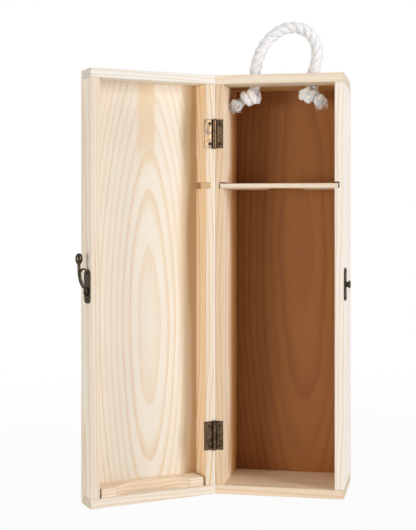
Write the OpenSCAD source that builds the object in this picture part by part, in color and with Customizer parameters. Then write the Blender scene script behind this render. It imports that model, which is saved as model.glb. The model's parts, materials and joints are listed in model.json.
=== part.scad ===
// Upright wooden gift box for one bottle, with a hinged tray lid, a sliding neck divider,
// two butt hinges, a swinging hook latch and a knotted rope handle. All sizes are in millimetres.
// The origin is the middle of the underside of the box. The box opens towards -Y and its hinges
// are on the -X side. The lid is drawn swung open by lid_open.

/* [Box] */
// Outer width of the box and of the lid
body_w = 108; // [104:1:125]
// Outer height of the box and of the lid
body_h = 350; // [340:1:390]
// Outer depth of the box, with its back panel
box_depth = 64; // [60:1:80]
// Thickness of the side, top and bottom boards, and of the lid's rails
board_t = 7.5; // [7:0.5:9]
// Thickness of the back panel and of the lid's panel
panel_t = 4; // [3:0.5:6]

/* [Lid] */
// Outer depth of the lid, with its panel
lid_depth = 24; // [22:1:32]
// Angle that the lid stands open
lid_open = 142.5; // [0:0.5:150]
// Thickness of the cradle board that the bottle's foot lies in
cradle_t = 7.5; // [5:0.5:12]
// How far the cradle's horns end behind the lid's rim
cradle_setback = 1; // [0.5:0.5:2]
// Gap from each end of the cradle to the rail beside it
cradle_end_gap = 1.8; // [0.5:0.1:3]
// Width of each horn beside the cradle's hollow
horn_w = 12; // [10:0.5:16]
// Depth of the cradle's hollow
hollow_depth = 14.5; // [8:0.5:14.5]

/* [Divider] */
// Height of the underside of the divider's grooves
groove_z = 255.3; // [240:0.1:265]
// Height of a groove
groove_h = 5.4; // [5.2:0.1:7]
// How deep a groove is cut into a side board
groove_depth = 4; // [3:0.5:5]
// Thickness of the divider
divider_t = 4; // [3:0.5:4.5]
// Gap between each end of the divider and the bottom of its groove
divider_end_gap = 1; // [0.3:0.1:1.5]
// Gap between the divider and the back panel
divider_back_gap = 0.5; // [0.3:0.1:1.5]
// Width of the notch for the bottle's neck
notch_w = 33; // [30:1:36]
// Wood left in front of the notch
notch_front = 6; // [5:0.5:9]

/* [Hinges] */
// Height of a hinge
hinge_h = 24; // [20:1:30]
// Distance of each hinge's middle from mid-height
hinge_offset = 126; // [110:1:140]
// Number of knuckles on a hinge
knuckles = 5; // [3:2:7]
// Outer radius of a knuckle
knuckle_r = 1.7; // [1.6:0.05:1.75]
// Radius of a hinge pin
pin_r = 0.85; // [0.7:0.05:0.9]
// Radius of the head at each end of a hinge pin
pin_head_r = 1.1; // [1:0.05:1.15]
// Thickness of a leaf
leaf_t = 0.9; // [0.7:0.05:1]
// Reach of the box's leaf from the pin
box_leaf_w = 7; // [6.5:0.1:7.2]
// Reach of the lid's leaf from the pin
lid_leaf_w = 9; // [7:0.1:9]
// Distance of the pin in front of each rim
pin_ahead = 1.2; // [1.2:0.05:1.4]
// Distance of the pin inside the box's outer side face
pin_inset = 0.2; // [0:0.05:0.25]
// Depth that each leaf is let into its rim
leaf_recess = 0.6; // [0.6:0.05:0.8]

/* [Latch] */
// Height of the middle of the latch and catch plates
latch_z = 176; // [165:1:190]
// Thickness of the latch and catch plates
plate_t = 1.4; // [1:0.1:1.5]
// Width of a plate
plate_w = 12.8; // [11:0.2:13]
// Radius of a plate's corners
plate_corner_r = 4.6; // [3:0.1:5]
// Height of a plate
plate_h = 26.8; // [26:0.2:30]
// Distance of a plate's middle from its rim
plate_setback = 6.8; // [6.7:0.1:8]
// Distance of the latch's pivot, and of the catch's stud, from its rim
pivot_setback = 5.3; // [5:0.1:6]
// How far the latch's pivot is below the stud
pivot_drop = 4; // [3:0.5:5]
// Radius of the latch's rivet
rivet_r = 1.5; // [1.2:0.1:1.7]
// Radius of the rivet's head
rivet_head_r = 2.6; // [2.3:0.1:2.8]
// Thickness of the hook's eye
eye_t = 1.5; // [1.2:0.1:1.7]
// Radius of the hook's eye
eye_r = 3.8; // [3.6:0.1:4]
// Thickness of the hook's bowed arm
arm_t = 2.6; // [2.2:0.1:2.8]
// Width of the hook's arm
arm_w = 3.6; // [3:0.1:4]
// Width of the claw that drops behind the stud
claw_w = 5; // [4:0.1:5.5]
// Thickness of the claw
claw_t = 1.8; // [1.5:0.1:2]
// Radius of the finger knob at the hook's end
knob_r = 2.9; // [2.5:0.1:3.1]
// Distance from the pivot to the middle of the finger knob
knob_reach = 26.6; // [26:0.1:28]
// Length of the knob's straight middle
knob_len = 3; // [2:0.1:4]
// Radius of the stud's head
stud_head_r = 3.2; // [3:0.1:3.4]
// Radius of the stud's neck
stud_neck_r = 1.8; // [1.5:0.1:2]
// How far the stud stands out from the side of the box
stud_reach = 5.3; // [5:0.1:5.3]
// Thickness of the stud's head
stud_head_t = 1.8; // [1.5:0.1:1.9]

/* [Nails] */
// Radius of the brads that hold the boards
brad_r = 0.7; // [0.6:0.05:0.9]
// Length of a brad
brad_len = 15; // [12:1:20]
// Number of brads along each side of a panel
panel_brads = 4; // [2:1:6]
// Radius of the round heads of the hinge and latch nails
nail_head_r = 1.4; // [1.3:0.05:1.4]
// Height of those heads
nail_head_h = 0.6; // [0.4:0.05:0.6]
// Radius of those nails
nail_r = 0.6; // [0.5:0.05:0.7]
// Length of those nails below their heads
nail_len = 6; // [5:0.5:7]

/* [Rope handle] */
// Diameter of the rope
rope_d = 10; // [9:0.5:10]
// Gap round the rope in its holes
rope_gap = 0.5; // [0.4:0.1:0.8]
// Distance between the middles of the rope's holes
rope_span = 50; // [50:1:52]

/* [Hidden] */
$fn = 48;

// Running clearance round the hinge pins and the latch rivet
fit = 0.05;
// Side clearance round small metal pieces
gap = 0.2;
// Clearance between the claw and the stud's head
claw_gap = 0.3;
// Amount that a cut runs past the face that it opens
past = 1;

front_y = -box_depth / 2;
back_y = box_depth / 2 - panel_t;
half_w = body_w / 2;
inner_half_w = half_w - board_t;
mid_y = (front_y + back_y) / 2;

pin_x = -half_w + pin_inset;
pin_y = front_y - pin_ahead;
hinge_heights = [body_h / 2 + hinge_offset, body_h / 2 - hinge_offset];
leaf_proud = leaf_t - leaf_recess;
nail_row = 0.35 * hinge_h;
pin_head_t = 0.6;

// The closed lid mirrors the box about the pin: its rim faces the rim of the box.
lid_rim_y = pin_y - pin_ahead;
lid_inner_y = lid_rim_y - lid_depth + panel_t;
lid_outer_y = lid_rim_y - lid_depth;

divider_z = groove_z + 0.1;
divider_half_w = inner_half_w + groove_depth - divider_end_gap;
notch_y = front_y + notch_front + notch_w / 2;

cradle_half_w = inner_half_w - cradle_end_gap;
cradle_front_y = lid_rim_y - cradle_setback;
hollow_half_w = cradle_half_w - horn_w;
hollow_r = (hollow_half_w * hollow_half_w + hollow_depth * hollow_depth) / (2 * hollow_depth);

pivot_y = lid_rim_y - pivot_setback;
pivot_z = latch_z - pivot_drop;
stud_y = front_y + pivot_setback;
stud_far = norm([stud_y - pivot_y, pivot_drop]) + stud_head_r;
claw_in = stud_far + claw_gap;
claw_out = claw_in + claw_t;
claw_low = plate_t + nail_head_h + 0.4;
plate_nail = plate_h / 2 - 1.8 * nail_head_r;
eye_low = plate_t + gap;
eye_top = eye_low + eye_t;
knob_h = 8.05;
hook_clear = knob_h + knob_r;

brad_in = board_t / 2;
brad_row_margin = 4 * board_t;

// Route of the rope's middle line, as distance to the right and height above the box.
rope_route = [[-25, -9], [-25, 0], [-24.8, 5], [-23.5, 13], [-20.8, 21], [-16.5, 28.8],
              [-10.8, 35.4], [-3.8, 40.4], [4, 43], [12, 42.8], [19.2, 39.8], [24.8, 34.2],
              [28, 26.5], [28.6, 18.5], [27.2, 10.5], [25.4, 4.5], [25, 0], [25, -9]];
rope_sides = 12;
rope_end = -9;

// Radii of a knot's ball, of the one turn round it, and of the rope in that turn and in the tail
knot_ball_r = 6.8;
knot_ring_r = 4.3;
knot_turn_r = 3.6;
knot_tail_r = 4.2;
// Each knot's middle, from the rope's end above it, the tilt of its turn, and its loose end
left_knot_middle = [-3.6, -4.5, -8];
left_knot_tilt = [70, 25, 0];
left_knot_tail = [-12, 0.5, -5];
right_knot_middle = [-2.4, -4.5, -8];
right_knot_tilt = [80, -30, 0];
right_knot_tail = [9, 0.5, -4.5];

// ---- helpers ----

// A box from its lowest to its highest corner.
module block(low, high) {
    translate(low) cube(high - low);
}

// The lid's pieces are drawn closed and swung about the hinge pins.
module swing_lid() {
    translate([pin_x, pin_y, 0]) rotate([0, 0, -lid_open]) translate([-pin_x, -pin_y, 0]) children();
}

// A rod along +X from the origin.
module rod_x(r, length) {
    rotate([0, 90, 0]) cylinder(r = r, h = length);
}

// A rod along +Y from the origin.
module rod_y(r, length) {
    rotate([-90, 0, 0]) cylinder(r = r, h = length);
}

// ---- brads ----

// Brads through the top and bottom boards into the ends of the two side boards, at depths ys.
module end_brads(ys) {
    for (x = [-half_w + brad_in, half_w - brad_in], y = ys) {
        translate([x, y, body_h - brad_len]) cylinder(r = brad_r, h = brad_len);
        translate([x, y, 0]) cylinder(r = brad_r, h = brad_len);
    }
}

// Brads along both sides of a panel, from the panel's face at y into the edges of the sides.
module panel_brad_rows(y) {
    pitch = (body_h - 2 * brad_row_margin) / (panel_brads - 1);
    for (x = [-half_w + brad_in, half_w - brad_in], i = [0 : panel_brads - 1])
        translate([x, y, brad_row_margin + i * pitch]) rod_y(brad_r, brad_len);
}

module box_brad_set() {
    third = (back_y - front_y) / 3;
    end_brads([mid_y - third, mid_y + third]);
    panel_brad_rows(box_depth / 2 - brad_len);
}

module lid_brad_set() {
    end_brads([(lid_rim_y + lid_inner_y) / 2]);
    panel_brad_rows(lid_outer_y);
    for (side = [-1, 1])
        translate([side * hollow_half_w, lid_outer_y, board_t + cradle_t / 2])
            rod_y(brad_r, brad_len);
}

// ---- hinge cuts and nails, for the box; the lid's are their mirror images ----

// Space in a rim for one leaf, a hair larger than the leaf.
module leaf_pocket(z, leaf_w) {
    low = [-half_w - past, front_y - past, z - hinge_h / 2 - gap / 2];
    high = [pin_x + leaf_w + gap / 2, front_y + leaf_recess, z + hinge_h / 2 + gap / 2];
    block(low, high);
}

// Places of the nails in one leaf.
module leaf_nails(z, x) {
    for (dz = [-nail_row, nail_row]) translate([x, front_y, z + dz]) children();
}

module nail_shank() {
    rod_y(nail_r, nail_len);
}

// A round-headed nail with its head towards -Y, lying on a leaf.
module leaf_nail() {
    translate([0, -leaf_proud, 0]) rod_y(nail_r, nail_len + leaf_proud);
    translate([0, -leaf_proud - nail_head_h, 0]) rod_y(nail_head_r, nail_head_h);
}

// Mirror in the plane through the pins, halfway between the closed rims.
module mirror_to_lid() {
    translate([0, pin_y, 0]) mirror([0, 1, 0]) translate([0, -pin_y, 0]) children();
}

leaf_nail_x = -half_w + 0.55 * board_t;

// One leaf with the knuckles whose numbers are in turns; the other leaf has the rest.
module hinge_leaf(z, leaf_w, turns, others) {
    pitch = hinge_h / knuckles;
    low_z = z - hinge_h / 2;
    low = [pin_x, front_y - leaf_proud, low_z];
    high = [pin_x + leaf_w, front_y + leaf_recess, low_z + hinge_h];
    difference() {
        union() {
            block(low, high);
            for (i = turns)
                translate([pin_x, pin_y, low_z + i * pitch + gap / 2])
                    cylinder(r = knuckle_r, h = pitch - gap);
        }
        for (i = others)
            translate([pin_x, pin_y, low_z + i * pitch - gap / 2])
                cylinder(r = knuckle_r + gap, h = pitch + gap);
        translate([pin_x, pin_y, low_z - past]) cylinder(r = pin_r + fit, h = hinge_h + 2 * past);
        leaf_nails(z, leaf_nail_x) translate([0, -past, 0]) rod_y(nail_r, 3 * past);
    }
}

function even_turns() = [for (i = [0 : 2 : knuckles - 1]) i];
function odd_turns() = [for (i = [1 : 2 : knuckles - 1]) i];

module hinge_pin(z) {
    hinge_metal() translate([pin_x, pin_y, z - hinge_h / 2]) {
        cylinder(r = pin_r, h = hinge_h);
        translate([0, 0, -pin_head_t]) cylinder(r = pin_head_r, h = pin_head_t);
        translate([0, 0, hinge_h]) cylinder(r = pin_head_r, h = pin_head_t);
    }
}

// ---- box ----

// Cut for the divider's groove in both sides, from y_low to y_high.
module divider_grooves(y_low, y_high) {
    reach = inner_half_w + groove_depth;
    block([-reach, y_low, groove_z], [reach, y_high, groove_z + groove_h]);
}

module box_hinge_cuts() {
    for (z = hinge_heights) {
        leaf_pocket(z, box_leaf_w);
        leaf_nails(z, leaf_nail_x) nail_shank();
    }
}

module box_back_panel() {
    color([0.86, 0.74, 0.56]) difference() {
        block([-half_w, back_y, 0], [half_w, box_depth / 2, body_h]);
        box_brad_set();
    }
}

module box_left_side() {
    color([0.90, 0.79, 0.62]) difference() {
        block([-half_w, front_y, board_t], [-inner_half_w, back_y, body_h - board_t]);
        divider_grooves(front_y - past, back_y + past);
        box_hinge_cuts();
        box_brad_set();
    }
}

module box_right_side() {
    color([0.93, 0.85, 0.72]) difference() {
        block([inner_half_w, front_y, board_t], [half_w, back_y, body_h - board_t]);
        divider_grooves(front_y - past, back_y + past);
        catch_holes();
        box_brad_set();
    }
}

module box_top() {
    color([0.94, 0.86, 0.74]) difference() {
        block([-half_w, front_y, body_h - board_t], [half_w, back_y, body_h]);
        for (side = [-1, 1])
            translate([side * rope_span / 2, mid_y, body_h - board_t - past])
                cylinder(r = rope_d / 2 + rope_gap, h = board_t + 2 * past);
        box_brad_set();
    }
}

module box_bottom() {
    color([0.92, 0.83, 0.69]) difference() {
        block([-half_w, front_y, 0], [half_w, back_y, board_t]);
        box_brad_set();
    }
}

module box_brads() {
    color([0.62, 0.60, 0.56]) box_brad_set();
}

// The neck notch is open to the back, so the divider slides out forwards past the bottle's neck.
module neck_divider() {
    color([0.88, 0.76, 0.55]) translate([0, 0, divider_z]) linear_extrude(divider_t) difference() {
        translate([-divider_half_w, front_y])
            square([2 * divider_half_w, back_y - divider_back_gap - front_y]);
        translate([0, notch_y]) circle(d = notch_w);
        translate([-notch_w / 2, notch_y]) square([notch_w, box_depth]);
    }
}

// ---- hinges ----

module hinge_metal() {
    color([0.36, 0.31, 0.23]) children();
}

module hinge_upper_box_leaf() {
    hinge_metal() hinge_leaf(hinge_heights[0], box_leaf_w, even_turns(), odd_turns());
}

module hinge_lower_box_leaf() {
    hinge_metal() hinge_leaf(hinge_heights[1], box_leaf_w, even_turns(), odd_turns());
}

module hinge_upper_lid_leaf() {
    hinge_metal() swing_lid() mirror_to_lid()
        hinge_leaf(hinge_heights[0], lid_leaf_w, odd_turns(), even_turns());
}

module hinge_lower_lid_leaf() {
    hinge_metal() swing_lid() mirror_to_lid()
        hinge_leaf(hinge_heights[1], lid_leaf_w, odd_turns(), even_turns());
}

module hinge_upper_pin() {
    hinge_pin(hinge_heights[0]);
}

module hinge_lower_pin() {
    hinge_pin(hinge_heights[1]);
}

module hinge_box_nails() {
    hinge_metal() for (z = hinge_heights) leaf_nails(z, leaf_nail_x) leaf_nail();
}

module hinge_lid_nails() {
    hinge_metal() swing_lid() mirror_to_lid()
        for (z = hinge_heights) leaf_nails(z, leaf_nail_x) leaf_nail();
}

// ---- latch and catch: drawn with h along +X, out from the side face, and z along +Z ----

// A plate with rounded corners, round its middle.
module round_plate() {
    corner_y = plate_w / 2 - plate_corner_r;
    corner_z = plate_h / 2 - plate_corner_r;
    rotate([90, 0, 90]) linear_extrude(plate_t) {
        translate([-plate_w / 2, -corner_z]) square([plate_w, 2 * corner_z]);
        translate([-corner_y, -plate_h / 2]) square([2 * corner_y, plate_h]);
        for (y = [-corner_y, corner_y], z = [-corner_z, corner_z])
            translate([y, z]) circle(r = plate_corner_r);
    }
}

// Places of a plate's two nails, from the plate's middle.
module plate_nails() {
    for (side = [-1, 1]) translate([0, 0, side * plate_nail]) children();
}

module plate_nail_body() {
    translate([-nail_len, 0, 0]) rod_x(nail_r, nail_len + plate_t);
    translate([plate_t, 0, 0]) rod_x(nail_head_r, nail_head_h);
}

module plate_nail_hole() {
    translate([-nail_len, 0, 0]) rod_x(nail_r, nail_len + plate_t + past);
}

stud_shank_len = 5;

module stud_hole() {
    translate([-stud_shank_len, 0, 0]) rod_x(rivet_r, stud_shank_len + plate_t + past);
}

module catch_plate_place() {
    translate([half_w, front_y + plate_setback, latch_z]) children();
}

module catch_stud_place() {
    translate([half_w, stud_y, latch_z]) children();
}

module catch_holes() {
    catch_plate_place() plate_nails() plate_nail_hole();
    catch_stud_place() stud_hole();
}

module latch_plate_place() {
    translate([half_w, lid_rim_y - plate_setback, latch_z]) children();
}

module pivot_place() {
    translate([half_w, pivot_y, pivot_z]) children();
}

module latch_holes() {
    latch_plate_place() plate_nails() plate_nail_hole();
    pivot_place() stud_hole();
}

module catch_plate() {
    hinge_metal() difference() {
        catch_plate_place() round_plate();
        catch_holes();
    }
}

module catch_stud() {
    hinge_metal() catch_stud_place() {
        translate([-stud_shank_len, 0, 0]) rod_x(rivet_r, stud_shank_len + plate_t);
        translate([plate_t, 0, 0]) rod_x(stud_neck_r, stud_reach - stud_head_t - plate_t);
        translate([stud_reach - stud_head_t, 0, 0]) rod_x(stud_head_r, stud_head_t);
    }
}

module catch_nails() {
    hinge_metal() catch_plate_place() plate_nails() plate_nail_body();
}

module latch_plate() {
    hinge_metal() swing_lid() difference() {
        latch_plate_place() round_plate();
        latch_holes();
    }
}

module latch_nails() {
    hinge_metal() swing_lid() latch_plate_place() plate_nails() plate_nail_body();
}

rivet_head_t = 0.8;

module latch_rivet() {
    hinge_metal() swing_lid() pivot_place() {
        translate([-stud_shank_len, 0, 0]) rod_x(rivet_r, stud_shank_len + eye_top + gap);
        translate([eye_top + gap, 0, 0]) rod_x(rivet_head_r, rivet_head_t);
    }
}

// The arm leaves the eye steeply and bends upright beside the stud's place.
arm_start = 2.5;
arm_end = knob_reach - 2;
arm_low = 2.8;
arm_rise = 5.3;
arm_bend = 5;
function arm_h(s) = arm_low + arm_rise * (1 - exp(-(s - arm_start) / arm_bend));
function arm_slope(s) = arm_rise / arm_bend * exp(-(s - arm_start) / arm_bend);
function arm_edge(s, side) =
    let (m = arm_slope(s), k = side * arm_t / 2 / sqrt(1 + m * m)) [arm_h(s) + k, s - k * m];
arm_steps = [for (i = [0 : 14]) arm_start + (arm_end - arm_start) * i / 14];

module hook_arm() {
    outer = [for (s = arm_steps) arm_edge(s, 1)];
    inner = [for (i = [len(arm_steps) - 1 : -1 : 0]) arm_edge(arm_steps[i], -1)];
    rotate([90, 0, 0]) translate([0, 0, -arm_w / 2]) linear_extrude(arm_w)
        polygon(concat(outer, inner));
}

// The claw reaches in from the arm, just beyond the stud's head.
module hook_claw() {
    top = arm_h(claw_in);
    outline = [[top, claw_in - 1.5], [stud_reach + 1.2, claw_in - 0.7], [stud_reach + 0.4, claw_in],
               [claw_low, claw_in], [claw_low, claw_out], [top - 2.4, claw_out],
               [top, claw_out - 0.6]];
    rotate([90, 0, 0]) translate([0, 0, -claw_w / 2]) linear_extrude(claw_w) polygon(outline);
}

module hook_knob() {
    translate([knob_h, 0, knob_reach]) {
        for (side = [-1, 1]) translate([0, 0, side * knob_len / 2]) sphere(r = knob_r);
        translate([0, 0, -knob_len / 2]) cylinder(r = knob_r, h = knob_len);
    }
}

module latch_hook() {
    hinge_metal() swing_lid() pivot_place() difference() {
        union() {
            translate([eye_low, 0, 0]) rod_x(eye_r, eye_t);
            hook_arm();
            hook_claw();
            hook_knob();
        }
        rod_x(rivet_r + fit, eye_top + past);
        translate([eye_top, 0, 0]) rod_x(rivet_head_r + 2 * gap, hook_clear);
        translate([eye_low - hook_clear, 0, 0]) rod_x(eye_r + past, hook_clear);
    }
}

// ---- lid ----

module lid_panel() {
    color([0.95, 0.88, 0.74]) swing_lid() difference() {
        block([-half_w, lid_outer_y, 0], [half_w, lid_inner_y, body_h]);
        lid_brad_set();
    }
}

module lid_hinge_rail() {
    color([0.88, 0.76, 0.58]) swing_lid() difference() {
        block([-half_w, lid_inner_y, board_t], [-inner_half_w, lid_rim_y, body_h - board_t]);
        divider_grooves(lid_inner_y - past, lid_rim_y + past);
        mirror_to_lid() for (z = hinge_heights) {
            leaf_pocket(z, lid_leaf_w);
            leaf_nails(z, leaf_nail_x) nail_shank();
        }
        lid_brad_set();
    }
}

module lid_latch_rail() {
    color([0.93, 0.85, 0.72]) swing_lid() difference() {
        block([inner_half_w, lid_inner_y, board_t], [half_w, lid_rim_y, body_h - board_t]);
        divider_grooves(lid_inner_y - past, lid_rim_y + past);
        latch_holes();
        lid_brad_set();
    }
}

module lid_top_rail() {
    color([0.96, 0.90, 0.79]) swing_lid() difference() {
        block([-half_w, lid_inner_y, body_h - board_t], [half_w, lid_rim_y, body_h]);
        lid_brad_set();
    }
}

module lid_bottom_rail() {
    color([0.94, 0.86, 0.73]) swing_lid() difference() {
        block([-half_w, lid_inner_y, 0], [half_w, lid_rim_y, board_t]);
        lid_brad_set();
    }
}

// The hollow's arc passes through both horns' corners and is hollow_depth deep.
module lid_cradle() {
    color([0.93, 0.83, 0.66]) swing_lid() difference() {
        translate([0, 0, board_t]) linear_extrude(cradle_t) difference() {
            translate([-cradle_half_w, lid_inner_y])
                square([2 * cradle_half_w, cradle_front_y - lid_inner_y]);
            translate([0, cradle_front_y - hollow_depth + hollow_r]) circle(r = hollow_r, $fn = 96);
        }
        lid_brad_set();
    }
}

module lid_brads() {
    color([0.62, 0.60, 0.56]) swing_lid() lid_brad_set();
}

// ---- rope handle ----

function unit(v) = v / norm(v);
function route_dir(i) =
    unit(rope_route[min(i + 1, len(rope_route) - 1)] - rope_route[max(i - 1, 0)]);

// Ring of points round the route at point i. The route lies in one upright plane.
function rope_ring(i) =
    let (p = rope_route[i], d = route_dir(i), r = rope_d / 2)
    [for (k = [0 : rope_sides - 1])
        let (a = 360 * k / rope_sides)
        [p[0] - d[1] * r * cos(a), mid_y + r * sin(a), body_h + p[1] + d[0] * r * cos(a)]];

module rope_handle() {
    n = rope_sides;
    rings = len(rope_route);
    points = [for (i = [0 : rings - 1], p = rope_ring(i)) p];
    sides = [for (i = [0 : rings - 2], k = [0 : n - 1], half = [0, 1])
        let (a = i * n + k, b = i * n + (k + 1) % n)
        half == 0 ? [a, b, b + n] : [a, b + n, a + n]];
    ends = [[for (k = [n - 1 : -1 : 0]) k], [for (k = [0 : n - 1]) (rings - 1) * n + k]];
    color([0.94, 0.93, 0.95]) polyhedron(points = points, faces = concat(sides, ends));
}

// A knot under the hole at x: the neck that the rope runs into, a ball with one turn round it
// at middle, and the loose end, which runs from there along tail.
module rope_knot(x, middle, turn_tilt, tail) {
    color([0.93, 0.91, 0.90]) translate([x, mid_y, body_h + rope_end]) {
        translate([0, 0, middle[2]]) cylinder(r = rope_d / 2, h = -middle[2]);
        translate(middle) {
            sphere(r = knot_ball_r);
            rotate(turn_tilt) rotate_extrude() translate([knot_ring_r, 0]) circle(r = knot_turn_r);
            knot_tail(tail);
        }
    }
}

// The loose end of a knot, along v from the knot's middle, rounded at its tip.
module knot_tail(v) {
    length = norm(v);
    rotate([0, acos(v[2] / length), atan2(v[1], v[0])]) {
        cylinder(r = knot_tail_r, h = length);
        translate([0, 0, length]) sphere(r = knot_tail_r);
    }
}

module rope_knot_left() {
    rope_knot(-rope_span / 2, left_knot_middle, left_knot_tilt, left_knot_tail);
}

module rope_knot_right() {
    rope_knot(rope_span / 2, right_knot_middle, right_knot_tilt, right_knot_tail);
}

box_back_panel();
box_left_side();
box_right_side();
box_top();
box_bottom();
box_brads();
neck_divider();
hinge_upper_box_leaf();
hinge_lower_box_leaf();
hinge_upper_lid_leaf();
hinge_lower_lid_leaf();
hinge_upper_pin();
hinge_lower_pin();
hinge_box_nails();
hinge_lid_nails();
catch_plate();
catch_stud();
catch_nails();
lid_panel();
lid_hinge_rail();
lid_latch_rail();
lid_top_rail();
lid_bottom_rail();
lid_cradle();
lid_brads();
latch_plate();
latch_nails();
latch_rivet();
latch_hook();
rope_handle();
rope_knot_left();
rope_knot_right();
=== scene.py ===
import functools
import json
import math

import bmesh
import bpy
import numpy as np
from mathutils import Matrix, Vector

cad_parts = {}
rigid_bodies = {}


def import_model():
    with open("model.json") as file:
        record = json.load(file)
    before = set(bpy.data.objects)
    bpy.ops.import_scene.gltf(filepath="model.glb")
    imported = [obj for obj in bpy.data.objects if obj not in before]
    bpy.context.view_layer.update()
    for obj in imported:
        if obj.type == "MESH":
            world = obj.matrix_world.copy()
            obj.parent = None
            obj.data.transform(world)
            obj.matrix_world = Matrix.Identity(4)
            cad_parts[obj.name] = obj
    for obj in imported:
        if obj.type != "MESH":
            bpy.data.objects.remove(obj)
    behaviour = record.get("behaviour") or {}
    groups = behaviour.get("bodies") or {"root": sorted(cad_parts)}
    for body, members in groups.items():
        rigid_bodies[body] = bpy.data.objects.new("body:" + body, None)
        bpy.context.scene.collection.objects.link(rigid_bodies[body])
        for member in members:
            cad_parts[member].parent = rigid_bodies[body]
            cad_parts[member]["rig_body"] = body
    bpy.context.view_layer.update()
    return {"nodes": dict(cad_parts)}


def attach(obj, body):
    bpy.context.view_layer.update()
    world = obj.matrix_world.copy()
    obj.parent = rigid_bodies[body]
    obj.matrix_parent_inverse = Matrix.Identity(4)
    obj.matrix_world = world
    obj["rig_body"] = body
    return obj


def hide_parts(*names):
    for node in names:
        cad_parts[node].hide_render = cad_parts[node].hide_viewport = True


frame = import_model()
MM = 0.001
X, Y, Z = Vector((1, 0, 0)), Vector((0, 1, 0)), Vector((0, 0, 1))

# ---------------------------------------------------------------- sizes of the box, in millimetres

HALF_W, HEIGHT, FRONT_Y, REAR_Y = 54.0, 350.0, -32.0, 32.0
BOARD, PANEL = 7.5, 4.0
INNER_W, INNER_Y = HALF_W - BOARD, REAR_Y - PANEL
MID_Y = (FRONT_Y + INNER_Y) / 2  # where the rope goes through the top board
DIVIDER_HALF_W, DIVIDER_REAR_Y, DIVIDER_LOW, DIVIDER_HIGH = 49.5, 27.5, 255.4, 259.4
LID_RIM_Y, LID_INNER_Y, LID_OUTER_Y = -34.4, -54.4, -58.4
CRADLE_HALF_W, CRADLE_FRONT_Y = 44.7, -35.4
LID_OPEN = math.radians(142.5)
PIN = Vector((-53.8, -33.2, 0.0))
HINGE_Z = (301.0, 49.0)
LEAF_T, LEAF_NAIL_X, LEAF_NAIL_DZ = 0.3, -49.875, 8.4
LATCH_Z = 176.0
PLATE_T, PLATE_SET, PLATE_NAIL_DZ = 1.4, 6.8, 10.88
PIVOT_SET, PIVOT_DROP = 5.3, 4.0

OPEN = Matrix.Rotation(-LID_OPEN, 3, "Z")


def swung(p):
    """A point of the closed lid, in millimetres, where the open lid has it."""
    return PIN + OPEN @ (Vector(p) - PIN)


def same(p):
    """A point of the box, in millimetres, which stays where it is."""
    return Vector(p)


# ---------------------------------------------------------------- objects and the camera


def linked(name, data):
    """A new object of the scene with this data."""
    obj = bpy.data.objects.new(name, data)
    bpy.context.scene.collection.objects.link(obj)
    return obj


def new_object(name, verts, faces):
    """A mesh piece from points in millimetres."""
    mesh = bpy.data.meshes.new(name)
    mesh.from_pydata([tuple(c * MM for c in v) for v in verts], [], faces)
    mesh.polygons.foreach_set("use_smooth", [True] * len(mesh.polygons))
    mesh.update()
    return linked(name, mesh)


def sharpen(obj, degrees):
    """Smooth shading that keeps the edges sharper than the angle."""
    obj.data.polygons.foreach_set("use_smooth", [True] * len(obj.data.polygons))
    obj.data.set_sharp_from_angle(angle=math.radians(degrees))


cam_data = bpy.data.cameras.new("camera")
cam = linked("camera", cam_data)
cam.location = (0.13289, -0.91374, 0.23131)
cam.rotation_euler = (math.radians(90), 0, math.radians(10.23))
cam_data.sensor_fit = "VERTICAL"
cam_data.sensor_height = 36
cam_data.lens = 73.15
cam_data.shift_x = -0.0742
cam_data.shift_y = -0.0902
bpy.context.scene.camera = cam

# ---------------------------------------------------------------- curves and tubes

FINE = 24  # points between two given points of a curve, before they are spaced evenly
OFF_PATH = (0.13, 0.94, 0.31)  # a direction in which no path starts


def spline(points, step):
    """Points step millimetres apart on a smooth curve through the given ones, and how far along
    it each one is."""
    p = np.array(points, float)
    p = np.vstack([2 * p[0] - p[1], p, 2 * p[-1] - p[-2]])
    fine = []
    for a, b, c, d in zip(p, p[1:], p[2:], p[3:]):
        t = np.linspace(0, 1, FINE, endpoint=False)[:, None]
        fine.append(0.5 * (2 * b + (c - a) * t + (2 * a - 5 * b + 4 * c - d) * t ** 2
                           + (3 * b - a - 3 * c + d) * t ** 3))
    fine = np.vstack(fine + [p[-2:-1]])
    s = np.r_[0, np.cumsum(np.linalg.norm(np.diff(fine, axis=0), axis=1))]
    u = np.linspace(0, s[-1], max(3, int(round(s[-1] / step)) + 1))
    return np.column_stack([np.interp(u, s, fine[:, k]) for k in range(3)]), u


def unit(rows):
    """Each row with its length made one."""
    return rows / np.linalg.norm(rows, axis=1)[:, None]


def frames(path):
    """Tangent and two cross directions that don't twist along a path."""
    t = unit(np.gradient(path, axis=0))
    n = np.cross(t[0], OFF_PATH)
    n /= np.linalg.norm(n)
    normals = [n]
    for k in range(1, len(path)):
        n = n - t[k] * (n @ t[k])
        n = n / np.linalg.norm(n)
        normals.append(n)
    n = np.array(normals)
    return t, n, np.cross(t, n)


def tube(rings, sides, start=0):
    """Faces round a tube whose points lie ring by ring from number start."""
    faces = []
    for first in range(start, start + (rings - 1) * sides, sides):
        for k in range(sides):
            a, b = first + k, first + (k + 1) % sides
            faces.append((a, b, b + sides, a + sides))
    return faces


def capped(rings, sides):
    """Faces of a tube with a flat face on each end."""
    last = (rings - 1) * sides
    return tube(rings, sides) + [tuple(range(sides - 1, -1, -1)), tuple(range(last, last + sides))]


def circle(sides):
    """The angles of the points of one ring."""
    return [math.tau * k / sides for k in range(sides)]


def lathe(profile, sides=32):
    """Points and faces of a turned shape round +X, from (distance along, radius) pairs."""
    verts = [(h, r * math.cos(a), r * math.sin(a)) for h, r in profile for a in circle(sides)]
    return verts, capped(len(profile), sides)


def placed(shape, matrix):
    """A shape moved by a matrix."""
    verts, faces = shape
    return [tuple(matrix @ Vector(v)) for v in verts], faces


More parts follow.
